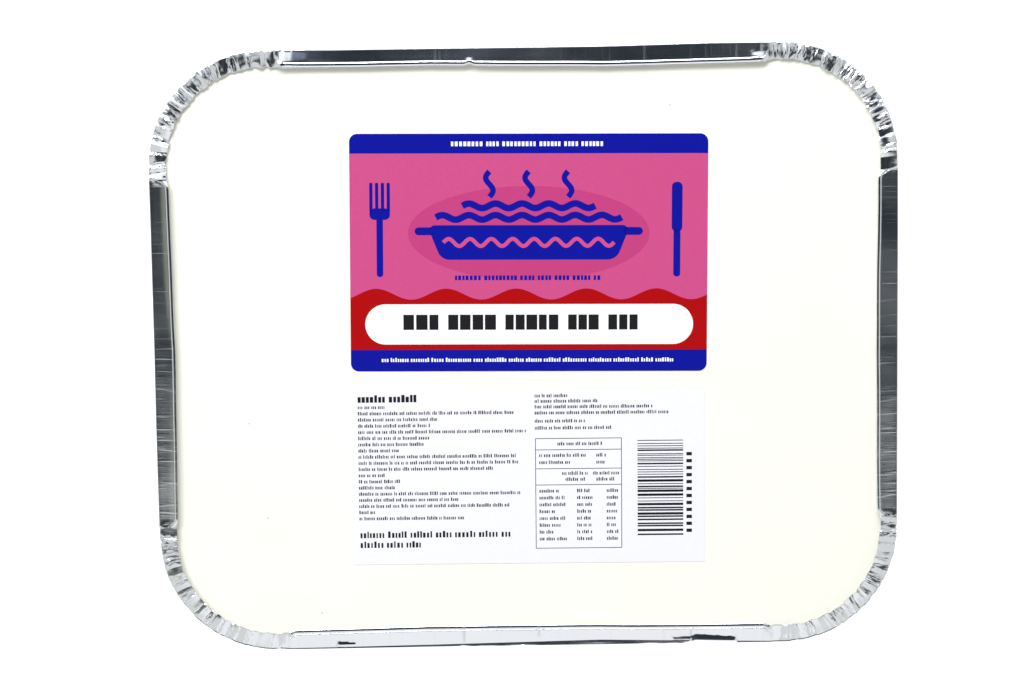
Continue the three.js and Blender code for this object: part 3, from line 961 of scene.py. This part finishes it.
def close_base(piece):
    make_active(piece)
    into_edit()
    strip = pick(piece, "FACE", is_strip)
    bpy.ops.mesh.delete(type="FACE")
    for level in (WALL[0][0] * MM, WALL[-1][0] * MM):
        pick(piece, "EDGE", lambda middle, edge: edge.is_boundary and abs(middle.z - level) < 0.05 * MM)
        bpy.ops.mesh.edge_face_add()
    rows = [(i - (RIB_COUNT - 1) / 2) * RIB_PITCH for i in range(RIB_COUNT)]
    cuts = [((0, y + side * RIB_WIDTH, 0), (0, 1, 0)) for y in rows for side in (-0.5, 0.5)]
    cuts += [((x, 0, 0), (1, 0, 0)) for x in (-RIB_LENGTH / 2, RIB_LENGTH / 2)]
    for place, normal in cuts:
        pick(piece, "FACE", on_panel)
        bpy.ops.mesh.bisect(plane_co=place, plane_no=normal)
    ribs = pick(piece, "FACE", is_rib)
    bpy.ops.mesh.inset(thickness=RIB_SLOPE, depth=0)
    bpy.ops.transform.translate(value=(0, 0, RIB_RISE))
    turn_outward()
    print("strip of %d faces removed, %d ribs pressed" % (strip, ribs))


close_base(wall)
sign_off(wall, foil, "tray", smooth_angle=WALL_ANGLE)

# %% [markdown]
# ## The board lid
# The lid is a sheet of board with round corners, its edge lying in the fold of the rim. Board
# that size is never quite flat. It is cut into small squares, raised and lowered by a soft
# cloud pattern, and the labels are later raised by the same pattern, so that they lie on it.

# %% Sheets on the lid
BOARD_WAVES = 0.5 * MM
SQUARE = 8 * MM
clouds = bpy.data.textures.new("board_waves", "CLOUDS")
clouds.noise_scale = 0.11
clouds.noise_depth = 1


def thicken(piece, thickness):
    """Gives a flat piece its thickness and leaves edit mode. It is first cut into squares by a
    grid of planes, so that it can follow the board."""
    low, high = piece.bound_box[0], piece.bound_box[6]
    for axis in (0, 1):
        normal = (1, 0, 0) if axis == 0 else (0, 1, 0)
        for i in range(math.ceil(low[axis] / SQUARE), math.floor(high[axis] / SQUARE) + 1):
            select_everything()
            bpy.ops.mesh.bisect(plane_co=[i * SQUARE * along for along in normal], plane_no=normal)
    select_everything()
    bpy.ops.mesh.extrude_region_move(TRANSFORM_OT_translate={"value": (0, 0, thickness)})
    turn_outward()


def follow_board(piece, group=""):
    waves = piece.modifiers.new("waves", "DISPLACE")
    waves.texture = clouds
    waves.texture_coords = "GLOBAL"
    waves.direction = "Z"
    waves.mid_level = 0.5
    waves.strength = BOARD_WAVES
    waves.vertex_group = group
    apply_modifiers(piece)


def rounded_plate(name, size, radius, corner_steps, z):
    """A flat plate with round corners, centred on the origin at height z, left in edit mode."""
    nothing_selected()
    bpy.ops.mesh.primitive_plane_add(size=1, location=(0, 0, z))
    piece = begin(name)
    piece.scale = (*size, 1)
    bpy.ops.object.transform_apply(location=True, rotation=True, scale=True)
    into_edit()
    if radius > 0:
        bpy.ops.mesh.bevel(offset=radius, segments=corner_steps, affect="VERTICES")
    return piece


# %% The lid
CALM_FROM, CALM_WIDTH = 8 * MM, 14 * MM  # in from the rim's edge; the board is flat in the fold
BOARD_ANGLE = math.radians(30)


def make_lid():
    size = (lid_high.x - lid_low.x, lid_high.y - lid_low.y)
    piece = rounded_plate("board_lid", size, CORNER - (HALF_X - lid_high.x), 24, LID_UNDER)
    thicken(piece, LID_TOP - LID_UNDER)
    calm = piece.vertex_groups.new(name="middle")
    to_side = np.abs(read_points(piece)[:, :2])
    _, from_arc = rim_measure(*np.maximum(to_side, CENTRE + 1e-6).T)
    from_side = np.min((HALF_X, HALF_Y) - to_side, axis=1)
    edge = np.where((to_side > CENTRE).all(axis=1), from_arc, from_side)
    for index, share in enumerate(np.clip((edge - CALM_FROM) / CALM_WIDTH, 0, 1)):
        calm.add([index], float(share), "REPLACE")
    follow_board(piece, "middle")
    sign_off(piece, board, "lid", smooth_angle=BOARD_ANGLE)


make_lid()

# %% [markdown]
# ## Labels
# Each label is a thin sheet of paper, and each ink on it a still thinner sheet of its own, so
# that every field of colour has a sharp edge in the mesh itself. Both are drawn square to the
# axes first, then turned and moved to the label's place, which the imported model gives.

# %% Label helpers
LABEL_SKIN = 0.12 * MM
INK = 0.02 * MM
LABEL_TURN = {"colour_label": math.radians(-0.75), "white_label": math.radians(-0.3)}


def label_size(label):
    """Width and height of a label before it was turned, in mm."""
    low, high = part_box(label)
    wide, tall = high.x - low.x, high.y - low.y
    c, s = math.cos(LABEL_TURN[label]), abs(math.sin(LABEL_TURN[label]))
    det = (c * c - s * s) * MM
    return (wide * c - tall * s) / det, (tall * c - wide * s) / det


def lay_down(piece, label, layer, material):
    """Gives a flat sheet its thickness, lays it at its label's place on the lid, and signs it
    off. Layer 0 is the label's paper, and each higher one is ink."""
    if piece.mode != "EDIT":
        make_active(piece)
        into_edit()
    thicken(piece, INK if layer else LABEL_SKIN)
    low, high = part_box(label)
    bottom = LID_TOP + LABEL_SKIN + (layer - 1) * INK if layer else LID_TOP
    piece.rotation_euler = (0, 0, LABEL_TURN[label])
    piece.location = ((low.x + high.x) / 2, (low.y + high.y) / 2, bottom)
    nothing_selected()
    make_active(piece)
    bpy.ops.object.transform_apply(location=True, rotation=True, scale=True)
    follow_board(piece)
    sign_off(piece, material, label)


def joined(name, pieces):
    """Several flat shapes of one ink, as one piece."""
    nothing_selected()
    for piece in reversed(pieces):
        make_active(piece)
    if len(pieces) > 1:
        bpy.ops.object.join()
    return begin(name)


def bar(x, y, width, height, radius=0.0, steps=4):
    """A flat bar with its left end at x and its middle line at y, in mm."""
    piece = rounded_plate("bar", (width * MM, height * MM), radius * MM, steps, 0)
    out_of_edit()
    piece.location = ((x + width / 2) * MM, y * MM, 0)
    bpy.ops.object.transform_apply(location=True, rotation=False, scale=False)
    return piece


def disc(x, y, radius, wide=1.0, steps=48):
    nothing_selected()
    place = (x * MM, y * MM, 0)
    bpy.ops.mesh.primitive_circle_add(vertices=steps, radius=radius * MM, fill_type="NGON", location=place)
    piece = begin("disc")
    piece.scale = (wide, 1, 1)
    bpy.ops.object.transform_apply(location=True, rotation=False, scale=True)
    return piece


def ribbon(points, width):
    """A flat ribbon of even width along a line of points, in mm: a narrow grid laid along it."""
    nothing_selected()
    path = np.array(points)
    ahead = np.gradient(path, axis=0)
    ahead /= np.linalg.norm(ahead, axis=1)[:, None]
    side = np.stack([-ahead[:, 1], ahead[:, 0]], 1) * width / 2
    bpy.ops.mesh.primitive_grid_add(x_subdivisions=len(path) - 1, y_subdivisions=1, size=1)
    piece = begin("ribbon")
    for index, vertex in enumerate(piece.data.vertices):
        row, column = divmod(index, len(path))
        spot = path[column] + side[column] * (1 if row else -1)
        vertex.co = (spot[0] * MM, spot[1] * MM, 0)
    return piece


def blocks(spans, low):
    """A row of upright blocks on one base line: a grid one row high, with every other face
    taken out. Each span is a block's left end, right end and height, in mm."""
    nothing_selected()
    edges = [x for left, right, _ in spans for x in (left, right)]
    bpy.ops.mesh.primitive_grid_add(x_subdivisions=len(edges) - 1, y_subdivisions=1, size=1)
    piece = begin("blocks")
    for index, vertex in enumerate(piece.data.vertices):
        row, column = divmod(index, len(edges))
        vertex.co = (edges[column] * MM, (low + row * spans[column // 2][2]) * MM, 0)
    into_edit()
    if pick(piece, "FACE", lambda middle, face: face.index % 2 == 1):
        bpy.ops.mesh.delete(type="FACE")
    out_of_edit()
    return piece


# %% [markdown]
# ### The coloured label
# Blue bands close it at the top and bottom. Between them lies a pink field above a red one with
# a wavy edge, and on the red a white panel with round ends. Names don't belong on a part for
# everyone's use, so the pink field carries a plain picture of a hot dish instead: a plate, layers
# of pasta, steam, a fork and a knife. Short bars stand where lines of print would be.

# %% Fields of colour
CW, CH = label_size("colour_label")  # mm
LABEL_CORNER = 3.5
TOP_BAND, BOTTOM_BAND = 8.5, 9.4
WAVE_PITCH, WAVE_HEIGHT, WAVE_PHASE = 30.4, 2.4, 25.0
WAVE_MIDDLE = -CH / 2 + 33.8
PANEL_WIDE, PANEL_TALL = 142.5, 17.6
PANEL_X, PANEL_Y = 0.2, -CH / 2 + 20.6


def whole_label(name):
    """The coloured label's own outline, left in edit mode."""
    return rounded_plate(name, (CW * MM, CH * MM), LABEL_CORNER * MM, 8, 0)


def corner_band(height, top):
    """A band across the label whose outer corners are the label's own."""
    piece = whole_label("band")
    select_everything()
    cut = (CH / 2 - height) * MM * (1 if top else -1)
    bpy.ops.mesh.bisect(plane_co=(0, cut, 0), plane_no=(0, 1, 0), clear_inner=top, clear_outer=not top)
    out_of_edit()
    return piece


def wave_field():
    """The red field: a grid whose upper edge is moved to a wave."""
    nothing_selected()
    low = -CH / 2 + BOTTOM_BAND
    bpy.ops.mesh.primitive_grid_add(x_subdivisions=150, y_subdivisions=1, size=1)
    piece = begin("red_field")
    for vertex in piece.data.vertices:
        x = vertex.co.x * CW
        wave = WAVE_MIDDLE + WAVE_HEIGHT * math.cos(2 * math.pi * (x - WAVE_PHASE) / WAVE_PITCH)
        vertex.co = (x * MM, (wave if vertex.co.y > 0 else low) * MM, 0)
    return piece


def white_panel():
    piece = rounded_plate("white_panel", (PANEL_WIDE * MM, PANEL_TALL * MM), PANEL_TALL / 2 * MM, 14, 0)
    select_everything()
    bpy.ops.transform.translate(value=(PANEL_X * MM, PANEL_Y * MM, 0))
    return piece


lay_down(whole_label("colour_label_sheet"), "colour_label", 0, pink_paper)
bands = [corner_band(TOP_BAND, True), corner_band(BOTTOM_BAND, False)]
lay_down(joined("blue_bands", bands), "colour_label", 1, blue_ink)
lay_down(wave_field(), "colour_label", 1, red_ink)
lay_down(white_panel(), "colour_label", 2, white_ink)

# %% [markdown]
# The picture: a blue baking dish with two handles and a wavy stripe, wavy sheets of pasta that
# look out of it and three curls of steam, on a rose plate between a fork and a knife.

# %% The picture of a dish
DISH_Y = 4.6  # mm, middle of the dish above the label's middle
DISH_TOP, DISH_FOOT, DISH_HEIGHT, DISH_CORNER = 88, 76, 15, 3.5
HANDLE_WIDE, HANDLE_TALL, HANDLE_OUT, HANDLE_DOWN = 8.4, 3.4, 1.2, 2.6
PLATE_UP, PLATE_RADIUS, PLATE_STRETCH = 4, 20.5, 2.55
SHEETS = [(80.5, 10.9), (57.5, 15.9)]  # length of each, and how far it is above the dish's middle
SHEET_THICK, SHEET_SWING, SHEET_PITCH = 2.9, 1.0, 11.5
STRIPE_THICK, STRIPE_SWING, STRIPE_PITCH = 1.7, 1.6, 9.25
STEAM_COUNT, STEAM_PITCH, STEAM_HEIGHT, STEAM_WIDTH = 3, 17, 11, 2.4
STEAM_UP, STEAM_SWING = 19.8, 1.6
CUTLERY_X, CUTLERY_UP = 64.5, 7


def wavy_line(x0, x1, y, swing, pitch, count=60):
    return [(x, y + swing * math.sin(2 * math.pi * (x - x0) / pitch)) for x in np.linspace(x0, x1, count)]


def baking_dish():
    """The dish from the side: a plate narrowed at its foot, with round corners, and its handles."""
    piece = rounded_plate("dish", (DISH_FOOT * MM, DISH_HEIGHT * MM), 0, 1, 0)
    pick(piece, "VERT", lambda middle, vertex: middle.y > 0)
    bpy.ops.transform.resize(value=(DISH_TOP / DISH_FOOT, 1, 1))
    select_everything()
    bpy.ops.mesh.bevel(offset=DISH_CORNER * MM, segments=6, affect="VERTICES")
    out_of_edit()
    piece.location = (0, DISH_Y * MM, 0)
    bpy.ops.object.transform_apply(location=True, rotation=False, scale=False)
    y = DISH_Y + DISH_HEIGHT / 2 - HANDLE_DOWN
    starts = [side * (DISH_TOP / 2 + HANDLE_OUT) - HANDLE_WIDE / 2 for side in (-1, 1)]
    return [piece, *(bar(x, y, HANDLE_WIDE, HANDLE_TALL, HANDLE_TALL / 2, 6) for x in starts)]


def pasta_sheets():
    lines = [wavy_line(-length / 2, length / 2, DISH_Y + up, SHEET_SWING, SHEET_PITCH, 90)
             for length, up in SHEETS]
    return [ribbon(line, SHEET_THICK) for line in lines]


def steam_curls():
    curl = wavy_line(0, STEAM_HEIGHT, 0, STEAM_SWING, STEAM_HEIGHT, 24)
    places = [(i - (STEAM_COUNT - 1) / 2) * STEAM_PITCH for i in range(STEAM_COUNT)]
    return [ribbon([(x + swing, DISH_Y + STEAM_UP + up) for up, swing in curl], STEAM_WIDTH)
            for x in places]


def dish_stripe():
    half = DISH_FOOT / 2 - 1
    return ribbon(wavy_line(-half, half, DISH_Y, STRIPE_SWING, STRIPE_PITCH, 100), STRIPE_THICK)


def fork(x, y):
    """A fork, from bars: four tines, the head they stand on, and a handle."""
    tines = [bar(x - 4.4 + 2.5 * i, y + 12.5, 1.4, 13, 0.6) for i in range(4)]
    head = bar(x - 4.4, y + 5.4, 8.9, 5.0, 2.2)
    return [*tines, head, bar(x - 1.4, y - 9.0, 2.8, 26, 1.3)]


def knife(x, y):
    return [bar(x - 2.6, y + 8.4, 4.6, 21.5, 2.0, 8), bar(x - 1.8, y - 11.5, 3.0, 21, 1.4)]


lay_down(disc(0, DISH_Y + PLATE_UP, PLATE_RADIUS, PLATE_STRETCH, 96), "colour_label", 1, rose_ink)
lay_down(joined("dish_print", baking_dish() + pasta_sheets() + steam_curls()), "colour_label", 2, blue_ink)
lay_down(joined("dish_stripe", [dish_stripe()]), "colour_label", 3, pink_paper)
cutlery = fork(-CUTLERY_X, DISH_Y + CUTLERY_UP) + knife(CUTLERY_X, DISH_Y + CUTLERY_UP)
lay_down(joined("cutlery_print", cutlery), "colour_label", 1, blue_ink)

# %% [markdown]
# Lines of print become rows of small upright blocks, grouped as words are, so that they are
# as grey as print from a distance and say nothing from near. Their widths come from a seeded
# draw, so every run gives the same rows.

# %% Rows of blocks
def print_row(rng, x0, x1, y, height, word=(2, 8), cover=(0.28, 0.5), gap=(0.2, 0.34), tall=1.3):
    """A row like a line of print from x0 to x1 with its middle at y, in mm. A block's width and
    the gap after it are drawn as shares of the height, and one block in four is taller."""
    spans, x = [], x0
    while x < x1 - 0.5 * height:
        for _ in range(rng.randint(*word)):
            width = height * rng.uniform(*cover)
            if x + width > x1:
                break
            spans.append((x, x + width, height * rng.choice((1, 1, 1, tall))))
            x += width + height * rng.uniform(*gap)
        x += 0.5 * height
    return blocks(spans, y - height / 2)


print_rng = random.Random(5)
white_rows = [print_row(print_rng, -33.5, 33.5, CH / 2 - 4.4, 2.0, (4, 10), (0.45, 0.65), tall=1),
              print_row(print_rng, -64, 64, -CH / 2 + 4.8, 1.35, (3, 11), (0.4, 0.6))]
lay_down(joined("white_rows", white_rows), "colour_label", 2, white_ink)
blue_row = print_row(print_rng, -32, 32, DISH_Y - 15.4, 2.0, (4, 9), (0.45, 0.65), tall=1)
lay_down(joined("blue_row", [blue_row]), "colour_label", 2, blue_ink)
title = print_row(print_rng, -54.5, 54, PANEL_Y + 0.9, 6.6, (3, 6), (0.5, 0.78), (0.11, 0.15), 1)
lay_down(joined("panel_row", [title]), "colour_label", 3, black_ink)

# %% [markdown]
# ### The white label
# The second label is plain paper with black print: a heading, lines of text, a table and a bar
# code of uneven bars that stands for no number.

# %% The white label
WW, WH = label_size("white_label")  # mm
LEFT = -74.0  # mm, where the text starts
LINE_PITCH, TEXT = 2.74, 1.2
LINE_ENDS = [-62, -6, -39, -42, 0, -43, -45, -56, -5, -4, -15, -62, -56, -57, -3, -30, -8, -66, -28]
BOLD_ENDS = [-7, -47]
BOLD_DOWN, BOLD_PITCH, BOLD = 64.0, 4.4, 2.2
# How far down each row on the right is, and where it ends.
RIGHT_ROWS = [(2.75, 19), (5.15, 31), (7.65, 55), (10.3, 62), (13.95, 26), (17.0, 38)]


def text_column(rng):
    rows = [print_row(rng, LEFT, LEFT + 27, WH / 2 - 3.7, 2.5, (4, 7), (0.45, 0.6), (0.14, 0.22))]
    for i, end in enumerate(LINE_ENDS):
        rows.append(print_row(rng, LEFT, end, WH / 2 - 7.2 - i * LINE_PITCH, TEXT))
    for i, end in enumerate(BOLD_ENDS):
        rows.append(print_row(rng, LEFT + 0.3, end, WH / 2 - BOLD_DOWN - i * BOLD_PITCH, BOLD, (4, 8)))
    for down, end in RIGHT_ROWS:
        rows.append(print_row(rng, 3.2, end, WH / 2 - down, TEXT))
    return rows


def table(rng):
    """The table: its outline and three rules as thin bars, and figures as rows of blocks. A cell
    is the left and right end, the middle line and the height of its row."""
    x0, x1, y0, y1, line = 3.4, 41.0, -WH / 2 + 6.6, WH / 2 - 21.6, 0.28
    rows = [bar(x0, y, x1 - x0, line) for y in (y0, y1, y1 - 5, y1 - 13.4, y1 - 20.6)]
    rows += [bar(x - line / 2, (y0 + y1) / 2, line, y1 - y0) for x in (x0, x1)]
    cells = [(13, 33, y1 - 2.5, TEXT)]
    for i in range(2):
        cells += [(5, 26 - 7 * i, y1 - 7.6 - i * 3.1, TEXT), (30, 34.5, y1 - 7.6 - i * 3.1, TEXT)]
    for x in (15, 28.5):
        cells += [(x, x + 11.5, y1 - 15.6, TEXT), (x + 1.5, x + 10, y1 - 18.3, TEXT)]
    for i in range(8):
        y = y1 - 23.4 - i * 3.05
        cells += [(5, 5 + rng.uniform(6, 13), y, TEXT), (21.5, 28.3, y, TEXT), (34.5, 39.5, y, TEXT)]
    return rows + [print_row(rng, *cell) for cell in cells]


def bar_code(rng):
    """Bars across x, of uneven thickness, one above the other, and a column of short ones."""
    rows, y = [], -WH / 2 + 12.0
    while y < WH / 2 - 22.6:
        thick = rng.choice((0.35, 0.35, 0.7, 1.05))
        rows.append(bar(48, y + thick / 2, 20, thick))
        y += thick + rng.choice((0.35, 0.35, 0.7, 0.7, 1.05))
    return rows + [bar(69.4, -WH / 2 + 14 + 3.1 * i, 2.4, 1.5) for i in range(12)]


sheet = rounded_plate("white_label_sheet", (WW * MM, WH * MM), 0.6 * MM, 3, 0)
lay_down(sheet, "white_label", 0, label_paper)
facts_rng = random.Random(9)
facts = text_column(facts_rng) + table(facts_rng) + bar_code(facts_rng)
lay_down(joined("facts_print", facts), "white_label", 1, black_ink)

# %% [markdown]
# ## Floor and light
# The floor is a plain pale sheet that glows a little from within, like the white table of a product
# photograph, though it is no lamp: painted light, strong enough that the tray's cast shadow
# hardly shows on it. Its glow is dimmed under the tray, a painted shade there, so that the wall
# mirrors something darker and shows from the front and the right. From behind, in the lamp's full
# light, it shows little.
# What the foil mirrors gives it its look: the room is dark straight overhead, where the camera
# stands, with a pale reflector in front, light walls far out at the sides, and a bright wall
# behind the tray's back. The key is a wide soft lamp low at the back, slightly to the left. It
# lights the lid, and the back hem throws its soft shadow on the lid from it.

# %% Floor
FLOOR_SIZE = 12
# Painted light and shade: the floor glows though it is no lamp, and its glow is dimmed under the tray as
# painted shade.
GLOW_FROM, GLOW_FULL = CORNER - 26 * MM, CORNER - 2 * MM  # from the corner arcs' centres
GLOW_UNDER, GLOW = 0.03, 0.62

nothing_selected()
bpy.ops.mesh.primitive_plane_add(size=FLOOR_SIZE, location=(0, 0, -0.1 * MM))
floor = begin("floor")
floor_finish, floor_shader = new_finish("pale_floor", (0.85, 0.85, 0.86), 0.8)
floor_shader.inputs["Specular IOR Level"].default_value = 0.1
floor_shader.inputs["Emission Color"].default_value = (1, 1, 1, 1)


def floor_vector(operation, a, b=(0, 0, 0), result="Vector"):
    return node(floor_finish, "VectorMath", {0: a, 1: b}, operation=operation).outputs[result]


# The glow fades towards the tray's outline: painted shade under the tray.
to_side = floor_vector("ABSOLUTE", node(floor_finish, "TexCoord").outputs["Object"])
past_arc = floor_vector("MAXIMUM", floor_vector("SUBTRACT", to_side, (*CENTRE, 1)))
gap = floor_vector("LENGTH", past_arc, result="Value")
glow = ranged(floor_finish, gap, GLOW_FROM, GLOW_FULL, GLOW_UNDER, GLOW, "SMOOTHSTEP")
floor_finish.node_tree.links.new(glow, floor_shader.inputs["Emission Strength"])
floor.data.materials.append(floor_finish)
print("floor: %d m wide" % FLOOR_SIZE)

# %% The room
OVERHEAD = (0.02, 0.027, 0.034)
# Each wall: the ways it lies, with where it starts and is full there (as a share of straight
# sideways), and its brightness.
WALLS = [
    ({"left": (0.48, 0.6)}, (0.19, 0.21, 0.17)),
    ({"right": (0.56, 0.66)}, (0.19, 0.21, 0.17)),
    ({"sides": (0.62, 0.78)}, (0.72, 0.74, 0.78)),
    ({"front": (0.18, 0.36), "above": (0.2, 0.36)}, (0.97, 0.98, 1.01)),
    ({"front": (0.18, 0.36), "above": (0.2, 0.36), "sides": (0.15, 0.45)}, (0.66, 0.67, 0.69)),
    ({"front": (0.188, 0.214), "above": (0.2, 0.36), "left": (0.05, 0.3)}, (0.74, 0.755, 0.75)),
    ({"front": (0.203, 0.225), "above": (0.2, 0.36), "right": (0.05, 0.3)}, (0.74, 0.755, 0.75)),
    ({"back": (-0.04, 0.12), "sides": (0.12, 0.35)}, (0.7, 0.72, 0.74)),
    ({"back": (0.41, 0.47)}, (0.12, 0.16, 0.26)),
    ({"back": (0.5, 0.6)}, (1.0, 1.02, 1.06)),
]

world = bpy.data.worlds.new("studio")
bpy.context.scene.world = world
world.use_nodes = True
direction = node(world, "SeparateXYZ", {"Vector": node(world, "TexCoord").outputs["Generated"]})


def room_math(operation, a, b=0.0):
    return node(world, "Math", {0: a, 1: b}, operation=operation).outputs["Value"]


sideways = {
    "sides": room_math("ABSOLUTE", direction.outputs["X"]),
    "left": room_math("MULTIPLY", direction.outputs["X"], -1.0),
    "right": direction.outputs["X"],
    "front": room_math("MULTIPLY", direction.outputs["Y"], -1.0),
    "back": direction.outputs["Y"],
    "above": direction.outputs["Z"],
}
room = node(world, "RGB")
room.outputs["Color"].default_value = (*OVERHEAD, 1)
room_colour = room.outputs["Color"]
for reaches, brightness in WALLS:
    mask = 1.0
    for way, (start, full) in reaches.items():
        reached = ranged(world, sideways[way], start, full, easing="SMOOTHSTEP")
        mask = room_math("MULTIPLY", reached, mask)
    room_colour = mixed(world, mask, room_colour, (*brightness, 1))
world.node_tree.links.new(room_colour, world.node_tree.nodes["Background"].inputs["Color"])
print("walls of the room:", len(WALLS))

# %% Key lamp
KEY_ANGLE = math.radians(54)  # from straight overhead, towards the back
KEY_DISTANCE, KEY_WIDTH, KEY_HEIGHT, KEY_POWER = 2.2, 3.0, 0.45, 80
KEY_LEFT = 0.8  # m

key = bpy.data.lights.new("key", "AREA")
key.shape = "RECTANGLE"
key.size, key.size_y = KEY_WIDTH, KEY_HEIGHT
key.energy = KEY_POWER
key_lamp = bpy.data.objects.new("key", key)
bpy.context.scene.collection.objects.link(key_lamp)
key_lamp.location = (-KEY_LEFT, KEY_DISTANCE * math.sin(KEY_ANGLE), KEY_DISTANCE * math.cos(KEY_ANGLE))
key_lamp.rotation_euler = Vector(key_lamp.location).to_track_quat("Z", "Y").to_euler()
print("key lamp at", [round(v, 2) for v in key_lamp.location])

bpy.context.scene.view_settings.view_transform = "Standard"
